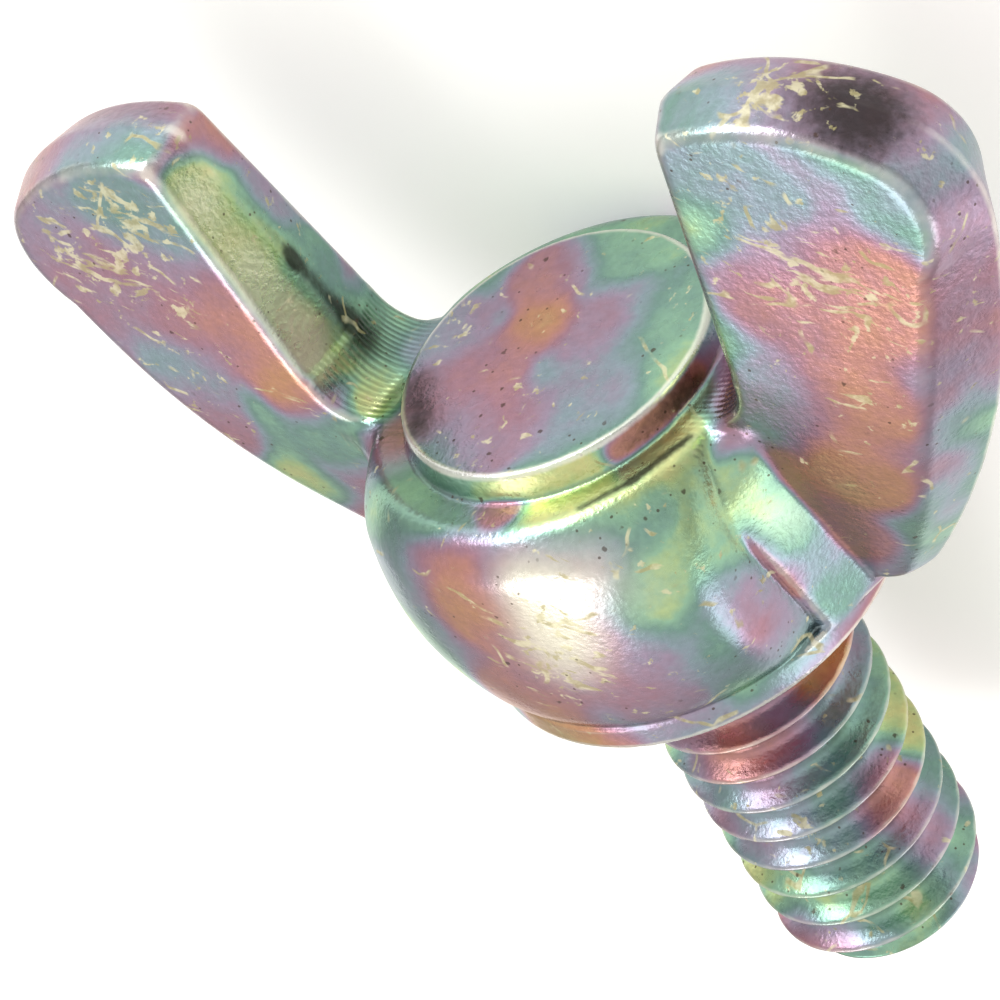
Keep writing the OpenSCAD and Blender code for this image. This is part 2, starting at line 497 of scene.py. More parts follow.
@dataclass
class RolledShank:
    """The shank: a right-hand 1/4-20 thread rolled up to the head, with a bevelled flat point."""

    major_r: float = 3.175
    neck_r: float = 2.79  # the unthreaded neck under the head
    pitch: float = 1.27
    depth: float = 0.66  # depth of the groove
    flank: float = 1.732  # fall of a flank in a millimetre along: the tangent of 60 degrees
    crest_flat: float = 0.045  # half the crest's flat
    crest_round: float = 0.05
    root_round: float = 0.3
    first_crest: float = 3.63  # depth of the first full crest under the bearing face, in front
    fade: tuple[float, float] = (0.15, 1.5)  # depths between which the thread rises from the neck
    thread_len: float = 12.7
    point_len: float = 0.8
    point_r: float = 2.68  # radius of the flat end
    bevel_round: float = 0.12
    worn_and_highlit: tuple[float, float] = (0.1, 0.01)  # how far inside the major radius wear and painted highlight start and are full
    worn_and_highlit_bend: float = 3.0
    root_shade_reach: float = 0.16  # how far outside the root painted shade starts
    root_shade_bend: float = 6.0
    inside: float = 0.4  # how far the shank reaches into the head
    around: int = 288  # points in a ring
    rows: int = 292  # rings down the shank
    end_rings: tuple[float, ...] = (0.97, 0.9, 0.75, 0.5, 0.25)  # radii of the rings that close the end
    end_dish: float = 0.08  # hollow of the end

    def radius(self, angle: Array, z: Array) -> Array:
        """Radius of the thread.

        Args:
            angle: Angle round the shank, from +x towards +y.
            z: Height, negative below the bearing face.

        Returns:
            The major radius less a ramp that starts at the edge of the crest's flat and levels out
            at the full depth. The crest climbs by one pitch a turn. Near the head the thread fades
            into a plain neck, and at the point a bevel cuts it off.
        """
        turns = (angle + math.pi / 2.0) / (2.0 * math.pi)
        phase = (z + self.first_crest) / self.pitch - turns
        away = np.abs(phase - np.round(phase)) * self.pitch
        ramp = self.flank * (away - self.crest_flat)
        drop = smooth_max(ramp, np.zeros_like(ramp), self.crest_round)
        drop = smooth_min(drop, np.full_like(ramp, self.depth), self.root_round)
        full = smooth_step(*self.fade, -z)
        r = self.neck_r + (self.major_r - drop - self.neck_r) * full
        end = self.thread_len + self.point_len
        bevel = self.point_r + (self.major_r - self.point_r) * (end + z) / self.point_len
        return smooth_min(r, bevel, self.bevel_round)

    def bend(self, points: Array) -> Array:
        """How sharply the thread bends, told from its radius.

        Args:
            points: Points on the skin.

        Returns:
            Positive on the crests, where the finish paints wear and edge highlight, negative in the
            roots, where it paints shade, and nothing past the full thread.
        """
        r = np.hypot(points[:, 0], points[:, 1])
        low, high = self.worn_and_highlit
        crest = smooth_step(self.major_r - low, self.major_r - high, r)
        root_r = self.major_r - self.depth
        root = smooth_step(root_r + self.root_shade_reach, root_r, r)
        along = (points[:, 2] < 0.0) & (points[:, 2] > -self.thread_len)
        return np.where(along, self.worn_and_highlit_bend * crest - self.root_shade_bend * root, 0.0)

    def skin(self) -> tuple[Array, list[tuple[int, ...]]]:
        """A grid round and down the shank, closed by a fan at either end.

        Returns:
            Points, row by row, and faces. The last rows share the point's height and close in to
            its middle, which is dished in by the square of the distance from the rim.
        """
        end = -(self.thread_len + self.point_len)
        angle = np.arange(self.around) * (2.0 * math.pi / self.around)
        z = np.linspace(self.inside, end, self.rows)[:, None]
        r = self.radius(angle[None, :], z)
        close = np.array(self.end_rings)[:, None]
        r = np.vstack([r, r[-1:] * close])
        z = np.vstack([z, end + self.end_dish * (1.0 - close**2)]) * np.ones_like(r)
        points = np.column_stack([(r * np.cos(angle)).ravel(), (r * np.sin(angle)).ravel(), z.ravel()])
        points = np.vstack([points, [[0.0, 0.0, self.inside], [0.0, 0.0, end + self.end_dish]]])
        n, rows = self.around, r.shape[0]
        ring = np.arange(n)
        after = (ring + 1) % n
        starts = np.arange(rows - 1)[:, None] * n
        quads = np.stack([starts + ring, starts + n + ring, starts + n + after, starts + after], axis=-1)
        top, tip = rows * n, rows * n + 1
        last = (rows - 1) * n
        caps = [np.column_stack([np.full(n, top), ring, after])]
        caps.append(np.column_stack([np.full(n, tip), last + after, last + ring]))
        faces = [*map(tuple, quads.reshape(-1, 4).tolist())]
        faces += [*map(tuple, np.vstack(caps).tolist())]
        return points, faces


# --------------------------------------------------------------------------------------------------
# Where the film is thin or thick
# --------------------------------------------------------------------------------------------------


class Side(Enum):
    """The way a patch of film faces, in the bolt's frame."""

    FRONT = (0.0, -1.0, 0.0)
    TOP = (0.0, 0.0, 1.0)
    RIGHT = (1.0, 0.0, 0.0)


@dataclass(frozen=True)
class Patch:
    """A place where the film has a thickness of its own.

    The film is counted in turns of its colours: 0 is yellow-green, 0.2 orange, 0.4 mauve, 0.6 blue-grey,
    0.8 green and 1 yellow-green again. Painted light is painted shade and painted dark reflections
    above zero, and a painted highlight that pales the film below zero. Stain is how many flakes there
    are. The spot, and the run from it for a patch that is a line, are in the bolt's frame, in
    millimetres.
    """

    spot: Triple
    side: Side
    reach: float
    film: float
    # painted light: above zero painted shade and painted dark reflections, below zero painted highlight
    painted_light: float = 0.0
    stain: float = 0.0
    run: Triple = (0.0, 0.0, 0.0)

    def away(self, points: Array) -> Array:
        """Distance from the patch.

        Args:
            points: Array of shape (n, 3).

        Returns:
            Each point's distance from the spot, or from the nearest point of the line that the patch
            runs along.
        """
        along = np.array(self.run)
        share = np.clip((points - self.spot) @ along / max(along @ along, 1e-9), 0.0, 1.0)
        return np.linalg.norm(points - self.spot - share[:, None] * along, axis=1)


# The wing at -x: its front face, its tip and its inner edge, down to the web.
LEFT_WING = (
    Patch((-6.9, -1.9, 9.0), Side.FRONT, 0.9, 0.17),
    Patch((-6.6, -1.8, 6.9), Side.FRONT, 1.3, 0.80),
    Patch((-6.3, -1.8, 5.0), Side.FRONT, 0.9, 0.36),
    Patch((-8.0, -1.7, 11.2), Side.FRONT, 1.5, 0.31),
    Patch((-10.2, -1.8, 9.6), Side.FRONT, 1.2, 0.70, stain=0.4),
    Patch((-10.2, -1.6, 12.6), Side.FRONT, 1.7, 0.43, stain=1.0),
    Patch((-11.8, -1.5, 13.9), Side.FRONT, 1.2, 0.52, stain=0.7),
    Patch((-8.4, -1.5, 14.6), Side.FRONT, 1.3, 0.70, stain=0.8),
    Patch((-10.6, -1.8, 7.6), Side.FRONT, 1.4, 0.40, stain=0.3),
    Patch((-9.4, -0.9, 16.4), Side.TOP, 1.3, 0.74),
    # painted shade on the tip's end face
    Patch((-10.2, 0.7, 16.3), Side.TOP, 1.1, 0.38, painted_light=0.42, run=(2.0, 0.0, 0.2)),
    Patch((-12.2, -0.5, 15.3), Side.TOP, 1.3, 0.36, painted_light=0.45),
    # painted highlights that brighten the inner edge
    Patch((-7.0, -1.0, 14.6), Side.RIGHT, 1.2, 1.0, painted_light=-0.7),
    Patch((-6.7, -1.2, 12.2), Side.RIGHT, 1.2, 0.97, painted_light=-0.95),
    Patch((-6.4, -1.2, 10.0), Side.RIGHT, 1.2, 0.93, painted_light=-1.05),
    Patch((-6.4, 0.7, 11.0), Side.RIGHT, 1.0, 0.76),
    # a painted dark reflection along the parting of the inner edge
    Patch((-7.0, 0.12, 14.2), Side.RIGHT, 0.3, 0.9, painted_light=0.8, run=(0.6, 0.0, -2.5)),
    Patch((-6.4, 0.1, 11.7), Side.RIGHT, 0.36, 0.8, painted_light=1.1, run=(0.4, 0.1, -2.3)),
    # painted shade along a burr at the tip's inner corner
    Patch((-7.3, 1.0, 15.9), Side.TOP, 0.16, 0.9, painted_light=0.9, run=(-0.3, -1.9, -0.2)),
    Patch((-8.2, -0.3, 16.1), Side.TOP, 0.9, 0.84, stain=0.6),
    Patch((-9.4, -1.4, 15.2), Side.FRONT, 0.9, 0.7, stain=1.0),
    # painted shade in the hollow of the root web, and a slight painted highlight above it
    Patch((-5.9, 0.2, 8.8), Side.RIGHT, 0.9, 0.86, painted_light=1.0),
    Patch((-5.4, -0.9, 8.0), Side.TOP, 0.9, 0.93, painted_light=-0.2),
    Patch((-6.8, 1.1, 13.4), Side.RIGHT, 0.9, 0.52, stain=0.4),
)

# The wing at +x: its front face, its tip with a painted dark reflection at its end, and its outer edge.
RIGHT_WING = (
    Patch((8.9, -1.4, 14.6), Side.FRONT, 1.7, 0.68, stain=0.5),
    Patch((7.5, -1.5, 13.8), Side.FRONT, 0.7, 0.97),
    Patch((8.9, -1.7, 11.8), Side.FRONT, 1.6, 0.36, stain=0.3),
    Patch((11.2, -1.5, 11.6), Side.FRONT, 1.6, 0.28, stain=0.7),
    # slight painted shade near the root
    Patch((7.3, -1.9, 8.7), Side.FRONT, 1.1, 0.62, painted_light=0.2),
    Patch((9.6, -1.7, 8.4), Side.FRONT, 1.3, 0.27, stain=0.6),
    Patch((8.2, -1.6, 5.6), Side.FRONT, 1.3, 0.18),
    Patch((6.6, -1.2, 3.0), Side.FRONT, 1.1, 0.33),
    # on the tip: a slight painted highlight, then painted shade rising to the painted dark reflection at the
    # end
    Patch((8.4, -0.7, 16.5), Side.TOP, 1.1, 0.72, painted_light=-0.1),
    Patch((9.8, -0.5, 16.6), Side.TOP, 1.1, 0.56, painted_light=0.2, stain=1.0),
    Patch((11.2, 0.3, 16.2), Side.TOP, 1.2, 0.44, painted_light=0.3, stain=0.7),
    Patch((12.3, -0.3, 15.6), Side.TOP, 1.5, 0.54, painted_light=1.4),
    Patch((13.2, -0.9, 11.5), Side.RIGHT, 2.4, 0.48, stain=0.4),
)

# The boss: orange in the middle, then mauve, blue-grey and green out to a yellow rim.
BOSS = (
    Patch((-0.8, 0.8, 8.5), Side.TOP, 0.7, 0.14),
    Patch((-1.4, 2.6, 8.5), Side.TOP, 1.1, 0.38),
    Patch((-1.6, -0.7, 8.5), Side.TOP, 1.1, 0.40),
    Patch((-0.4, -2.9, 8.5), Side.TOP, 1.3, 0.46, stain=0.4),
    Patch((1.1, 0.6, 8.5), Side.TOP, 1.0, 0.48),
    Patch((2.1, -1.9, 8.5), Side.TOP, 1.3, 0.62),
    Patch((3.0, 0.9, 8.5), Side.TOP, 1.1, 0.78),
    Patch((4.0, -0.6, 8.5), Side.TOP, 0.8, 0.95),
    Patch((0.6, 3.9, 8.5), Side.TOP, 1.2, 0.84),
    Patch((-3.6, 0.8, 8.5), Side.TOP, 1.1, 0.58, stain=0.5),
    # a painted dark reflection, a soft dark patch on the boss
    Patch((-3.5, -1.1, 8.5), Side.TOP, 0.6, 0.46, painted_light=0.6, run=(0.7, -1.5, 0.0)),
    # painted shade on the boss's lower right wall
    Patch((4.4, -0.6, 8.05), Side.RIGHT, 0.4, 0.2, painted_light=0.8, run=(-1.2, -2.4, 0.0)),
)

# The ledge, the front and right of the hub, the right root pad and the collar.
HUB = (
    Patch((-1.9, -4.4, 7.8), Side.TOP, 1.2, 0.82),
    Patch((0.3, -4.6, 7.7), Side.TOP, 0.5, 0.34),
    Patch((2.8, -4.3, 7.7), Side.TOP, 1.2, 0.97),
    # a painted dark reflection, a thin black line along the ledge
    Patch((4.7, -2.2, 7.75), Side.TOP, 0.14, 0.9, painted_light=1.2, run=(-1.0, -1.4, 0.0)),
    Patch((3.7, -3.6, 7.75), Side.TOP, 0.12, 0.9, painted_light=1.0, run=(-1.1, -0.9, 0.0)),
    Patch((4.4, -2.6, 7.7), Side.TOP, 1.0, 0.97),
    Patch((1.5, 4.6, 7.7), Side.TOP, 1.8, 0.84),
    Patch((-0.9, -6.2, 5.6), Side.FRONT, 1.1, 0.19),
    # painted highlight on the hub's front
    Patch((1.4, -5.6, 7.0), Side.FRONT, 1.1, 0.52, painted_light=-0.8, run=(1.4, 0.4, 0.0)),
    Patch((1.4, -6.0, 5.4), Side.FRONT, 1.4, 0.46, painted_light=-0.7, stain=0.4),
    Patch((0.9, -6.3, 3.9), Side.FRONT, 1.4, 0.43, painted_light=-0.5, stain=1.0),
    Patch((4.0, -4.9, 5.6), Side.FRONT, 1.1, 0.97, painted_light=-0.4, stain=0.3),
    Patch((5.0, -3.5, 6.2), Side.RIGHT, 1.2, 0.86, stain=0.3),
    Patch((4.4, -4.2, 3.2), Side.FRONT, 1.2, 0.78),
    Patch((-3.4, -5.0, 6.0), Side.FRONT, 1.2, 0.64),
    Patch((-1.2, -6.0, 2.2), Side.FRONT, 1.4, 0.34),
    Patch((2.6, -5.4, 1.8), Side.FRONT, 1.0, 0.44),
    Patch((2.7, -5.2, 0.4), Side.FRONT, 1.2, 0.60),
    Patch((-1.3, -5.7, 0.4), Side.FRONT, 1.2, 0.12),
    # painted highlights on the right root pad
    Patch((5.5, -2.3, 6.6), Side.RIGHT, 1.0, 0.88, painted_light=-0.3),
    Patch((5.6, -2.3, 5.0), Side.RIGHT, 0.7, 0.98, painted_light=-0.2),
    Patch((5.3, -2.9, 4.9), Side.FRONT, 0.35, 0.30, run=(0.2, 0.3, -2.4)),
    Patch((6.5, -1.4, 6.6), Side.FRONT, 0.4, 0.30, run=(-0.2, 0.5, -3.6)),
    # painted highlight on the right root pad
    Patch((6.0, -1.7, 4.4), Side.RIGHT, 1.0, 0.82, painted_light=-0.3),
    Patch((5.1, -2.9, 4.4), Side.FRONT, 0.7, 0.38),
    Patch((5.9, -1.6, 1.6), Side.RIGHT, 0.9, 0.76),
)

# The thread, from the neck to a dark mark at the point, drawn with the painted shade colour.
SHANK = (
    Patch((3.1, -0.5, -2.6), Side.RIGHT, 1.1, 0.12),
    Patch((3.0, -1.0, -5.4), Side.RIGHT, 1.2, 0.80),
    Patch((2.3, -2.2, -4.2), Side.FRONT, 1.2, 0.44),
    Patch((0.9, -3.0, -4.4), Side.FRONT, 1.2, 0.33),
    Patch((3.0, -1.0, -8.2), Side.RIGHT, 1.2, 0.30),
    Patch((2.3, -2.2, -7.4), Side.FRONT, 1.2, 0.78),
    Patch((0.9, -3.0, -8.0), Side.FRONT, 1.4, 0.60, stain=0.5),
    Patch((2.2, -2.2, -10.8), Side.FRONT, 1.4, 0.82, stain=0.4),
    Patch((1.6, -2.4, -13.3), Side.FRONT, 0.35, 0.9, painted_light=0.9, run=(0.6, 0.4, 0.0)),
)


@dataclass
class Film:
    """The chromate film as numbers at points of a skin."""

    patches: tuple[Patch, ...]
    facing: float = 2.0  # power by which a patch fades as the skin turns from it
    firm: float = 0.5  # weight of patches at which they hold in full
    nothing: float = 1e-6  # weight far from every patch, which keeps the mean defined

    def at(self, points: Array, slopes: Array) -> dict[str, Array]:
        """What the film does at points.

        Args:
            points: Array of shape (n, 3) in the bolt's frame, in millimetres.
            slopes: Unit normals at the points.

        Returns:
            By name: film, the mean of the patches' thickness; hold, how far that mean counts against
            the film's own clouds; painted_light, the sum of painted shade and painted highlight; and stain.
            A patch counts by a bell curve of the distance from it, times a power of how nearly the skin
            faces its way.
        """
        total = np.full(len(points), self.nothing)
        sums = {name: np.zeros(len(points)) for name in ("film", "painted_light", "stain")}
        for patch in self.patches:
            toward = np.clip(slopes @ np.array(patch.side.value), 0.0, 1.0) ** self.facing
            share = np.exp(-((patch.away(points) / patch.reach) ** 2)) * toward
            total += share
            for key in sums:
                sums[key] += share * getattr(patch, key)
        return {
            "film": sums["film"] / total,
            "hold": smooth_step(0.0, self.firm, total),
            "painted_light": np.clip(sums["painted_light"], -1.0, 1.0),
            "stain": np.clip(sums["stain"], 0.0, 1.0),
        }


# --------------------------------------------------------------------------------------------------
# Meshes
# --------------------------------------------------------------------------------------------------


@dataclass
class Maker:
    """Turns arrays into finished Blender pieces that lie as the bolt lies."""

    pose: Pose

    def piece(self, name: str, points: Array, faces: list[tuple[int, ...]]) -> bpy.types.Object:
        """A smooth-shaded object at the origin with its place in its mesh.

        Args:
            name: The piece's name.
            points: Points in the bolt's frame, in millimetres.
            faces: Point numbers of each face, outwards by the right-hand rule.

        Returns:
            The object, linked to the scene.
        """
        mesh = bpy.data.meshes.new(name)
        mesh.from_pydata(self.pose.place(points).tolist(), [], faces)
        mesh.polygons.foreach_set("use_smooth", np.ones(len(mesh.polygons), dtype=bool))
        mesh.update()
        obj = bpy.data.objects.new(name, mesh)
        bpy.context.scene.collection.objects.link(obj)
        return obj

    def write(self, mesh: bpy.types.Mesh, numbers: dict[str, Array]) -> None:
        """Keeps numbers on a mesh's vertices.

        Args:
            mesh: The mesh.
            numbers: One number for each vertex, by the name of the attribute that keeps them.
        """
        for name, values in numbers.items():
            layer = mesh.attributes.new(name, "FLOAT", "POINT")
            layer.data.foreach_set("value", np.asarray(values, dtype=np.float32))

    def rolled(self, shank: RolledShank, film: Film) -> bpy.types.Object:
        """The shank with its film.

        Args:
            shank: The shank's form.
            film: Where the film is thin or thick.

        Returns:
            The object.
        """
        points, faces = shank.skin()
        obj = self.piece("rolled_shank", points, faces)
        out = points * (1.0, 1.0, 0.0)
        out /= np.maximum(np.linalg.norm(out, axis=1), 1e-6)[:, None]
        self.write(obj.data, film.at(points, out))
        self.write(obj.data, {"bend": shank.bend(points)})
        return obj

    def forged(self, head: ForgedHead, film: Film) -> bpy.types.Object:
        """The head with its film: its net thinned to its count of triangles and settled again.

        Args:
            head: The head's form.
            film: Where the film is thin or thick.

        Returns:
            The object, shaded by the skin's true slope.
        """
        points, quads = head.skin()
        points = head.settle(points)
        rough = self.piece("rough_head", points, quads.tolist())
        thin = rough.modifiers.new("thin", "DECIMATE")
        thin.ratio = min(1.0, head.triangles / (2.0 * len(quads)))
        graph = bpy.context.evaluated_depsgraph_get()
        mesh = bpy.data.meshes.new_from_object(rough.evaluated_get(graph))
        bpy.data.meshes.remove(rough.data)
        flat = np.empty(len(mesh.vertices) * 3)
        mesh.vertices.foreach_get("co", flat)
        points = head.settle(self.pose.lift(flat.reshape(-1, 3)), 1)
        mesh.vertices.foreach_set("co", self.pose.place(points).ravel())
        mesh.polygons.foreach_set("use_smooth", np.ones(len(mesh.polygons), dtype=bool))
        slope = head.gradient(points)
        slope /= np.linalg.norm(slope, axis=1)[:, None]
        self.write(mesh, film.at(points, slope))
        self.write(mesh, {"bend": head.bend(points), "drawn": head.drawn(points)})
        mesh.normals_split_custom_set_from_vertices(self.pose.turn(slope).tolist())
        mesh.update()
        mesh.name = "forged_head"
        obj = bpy.data.objects.new("forged_head", mesh)
        bpy.context.scene.collection.objects.link(obj)
        return obj


# --------------------------------------------------------------------------------------------------
# Finishes
# --------------------------------------------------------------------------------------------------


def colour(code: str) -> tuple[float, float, float, float]:
    """A hex sRGB colour as linear light.

    Args:
        code: Red, green and blue in hex after a hash sign.

    Returns:
        The three by the sRGB curve, and an alpha of 1.
    """
    parts = [int(code[i : i + 2], 16) / 255.0 for i in (1, 3, 5)]
    linear = [p / 12.92 if p <= 0.04045 else ((p + 0.055) / 1.055) ** 2.4 for p in parts]
    return (*linear, 1.0)


def add(
    tree: bpy.types.NodeTree,
    kind: str,
    inputs: dict[int | str, object],
    out: int | str = 0,
    **settings: object,
) -> Socket:
    """Adds a node.

    Args:
        tree: The node tree.
        kind: The node's type, without "ShaderNode".
        inputs: Numbers, colours or output sockets by the input's name or place.
        out: Name or place of the output that is wanted.
        settings: Attributes of the node.

    Returns:
        That output. The others are on its node.
    """
    node = tree.nodes.new("ShaderNode" + kind)
    for key, value in settings.items():
        setattr(node, key, value)
    for key, value in inputs.items():
        if isinstance(value, Socket):
            tree.links.new(value, node.inputs[key])
        else:
            node.inputs[key].default_value = value
    return node.outputs[out]


@dataclass(frozen=True)
class Cloud:
    """A noise whose clouds are about size millimetres across, with detail finer layers in them."""

    size: float
    detail: float
    roughness: float = 0.55

    def at(self, place: Socket) -> dict[str, object]:
        """The noise's inputs at a place in millimetres."""
        return {"Vector": place, "Scale": 1.0 / self.size, "Detail": self.detail, "Roughness": self.roughness}


@dataclass(frozen=True)
class Rise:
    """A smooth rise from 0 at start to top at end, which may lie either way of start."""

    start: float
    end: float
    top: float = 1.0

    def of(self, value: Socket) -> dict[str, object]:
        """The map's inputs for a value."""
        return {"Value": value, "From Min": self.start, "From Max": self.end, "To Max": self.top}


@dataclass(frozen=True)
class Ground:
    """What the layers of a finish read: the tree, the place in mm and the skin's own numbers by name."""

    tree: bpy.types.NodeTree
    place: Socket
    here: dict[str, Socket]


@dataclass(frozen=True)
class PinHoles:
    """Pinholes in the plate, one to a cell of a foam of cells: count cells to a millimetre.

    A hole's radius is size of a cell, with a ragged rim. Only some cells have one, in loose crowds.
    """

    count: float
    size: float
    rim: tuple[float, float] = (0.09, 0.03)  # where a hole's rim starts and ends, past its size
    ragged: Cloud = Cloud(0.08, 0.0)
    raggedness: float = 0.12  # how far clouds move the rim
    chance: Rise = Rise(0.5, 0.56)  # which cells have a hole
    crowds: Cloud = Cloud(2.5, 0.0)
    crowding: Rise = Rise(0.4, 0.55)  # and where holes crowd

    def layer(self, ground: Ground) -> Socket:
        """How deep in a hole a place is.

        Args:
            ground: What the finish reads.

        Returns:
            1 in a hole and 0 outside.
        """
        tree, place = ground.tree, ground.place
        ragged = add(tree, "TexNoise", self.ragged.at(place))
        ragged = add(tree, "Math", {0: ragged, 1: self.raggedness}, operation="MULTIPLY")
        cell = add(tree, "TexVoronoi", {"Vector": place, "Scale": self.count}, "Distance")
        away = add(tree, "Math", {0: cell, 1: ragged}, operation="ADD")
        rim = Rise(self.size + self.rim[0], self.size + self.rim[1])
        hole = add(tree, "MapRange", rim.of(away), **SMOOTH)
        kept = add(tree, "MapRange", self.chance.of(cell.node.outputs["Color"]), **SMOOTH)
        crowd = add(tree, "TexNoise", self.crowds.at(place))
        crowd = add(tree, "MapRange", self.crowding.of(crowd), **SMOOTH)
        kept = add(tree, "Math", {0: kept, 1: crowd}, operation="MULTIPLY")
        return add(tree, "Math", {0: hole, 1: kept}, operation="MULTIPLY")


@dataclass(frozen=True)
class DriedFlakes:
    """Passivate that dried on the film: long runs, crumbs and thin curved lines, all in khaki.

    Places are stirred before the patterns are drawn, so nothing runs straight.
    """

    flake: str = "#D6D0AC"  # thin flake, pale khaki
    crust: str = "#A89E6E"  # thick crust, dark khaki
    tone: Cloud = Cloud(0.4, 3.0)  # clouds in which the two mix
    tones: Rise = Rise(0.4, 0.62)
    stir: Cloud = Cloud(1.5, 2.0, 0.5)  # clouds that move every place,
    stir_by: float = 0.9  # by this many millimetres from end to end
    middle: float = 0.5  # what a cloud is on average
    run: Cloud = Cloud(1.0, 3.0)
    run_turn: float = -0.5  # turn of the runs about the upright, in radians
    run_stretch: tuple[float, float, float] = (1.4, 0.3, 0.5)  # their stretch along each axis
    runs: Rise = Rise(0.67, 0.74)
    crumb: Cloud = Cloud(0.45, 4.0)
    crumbs: Rise = Rise(0.67, 0.73)
    mesh: float = 4.0  # width of a cell of the foam whose walls are the lines
    line: Rise = Rise(0.016, 0.007)  # a line is where the wall is nearer than this, in cells
    breaks: Cloud = Cloud(1.3, 2.0)  # clouds that break the lines up
    broken: Rise = Rise(0.57, 0.64)
    density: float = 0.15  # what a full stain adds to the clouds
    cover: float = 0.72  # how far a flake hides the film

    def layer(self, ground: Ground) -> Socket:
        """How far flakes cover the film.

        Args:
            ground: What the finish reads. Its stain lowers the noise that a flake needs.

        Returns:
            The most of runs, crumbs and lines; the lines are the walls of a foam with cells of mesh
            millimetres, broken up by clouds.
        """
        tree, place = ground.tree, ground.place
        swirl = add(tree, "TexNoise", self.stir.at(place), "Color")
        middle, by = (self.middle,) * 3, (self.stir_by,) * 3
        swirl = add(tree, "VectorMath", {0: swirl, 1: middle}, operation="SUBTRACT")
        bent = add(tree, "VectorMath", {0: swirl, 1: by, 2: place}, operation="MULTIPLY_ADD")
        stretched = {"Vector": bent, "Rotation": (0.0, 0.0, self.run_turn), "Scale": self.run_stretch}
        lie = add(tree, "Mapping", stretched, vector_type="TEXTURE")
        wanted = add(tree, "Math", {0: ground.here["stain"], 1: self.density}, operation="MULTIPLY")
        found = []
        for cloud, spot, rise in (
            (self.run, lie, self.runs),
            (self.crumb, bent, self.crumbs),
            (self.breaks, place, self.broken),
        ):
            thick = add(tree, "Math", {0: add(tree, "TexNoise", cloud.at(spot)), 1: wanted}, operation="ADD")
            found.append(add(tree, "MapRange", rise.of(thick), **SMOOTH))
        runs, crumbs, broken = found
        foam = {"Vector": bent, "Scale": 1.0 / self.mesh}
        wall = add(tree, "TexVoronoi", foam, "Distance", feature="DISTANCE_TO_EDGE")
        lines = add(tree, "MapRange", self.line.of(wall), **SMOOTH)
        lines = add(tree, "Math", {0: lines, 1: broken}, operation="MULTIPLY")
        most = add(tree, "Math", {0: runs, 1: crumbs}, operation="MAXIMUM")
        most = add(tree, "Math", {0: most, 1: lines}, operation="MAXIMUM")
        return add(tree, "Math", {0: most, 1: self.cover}, operation="MULTIPLY")

    def khaki(self, ground: Ground) -> Socket:
        """The flakes' colour.

        Args:
            ground: What the finish reads.

        Returns:
            Thick crust's colour and thin flake's, mixed in clouds.
        """
        tree = ground.tree
        tone = add(tree, "TexNoise", self.tone.at(ground.place))
        tone = add(tree, "MapRange", self.tones.of(tone), **SMOOTH)
        return add(tree, "Mix", {0: tone, 6: colour(self.crust), 7: colour(self.flake)}, 2, data_type="RGBA")


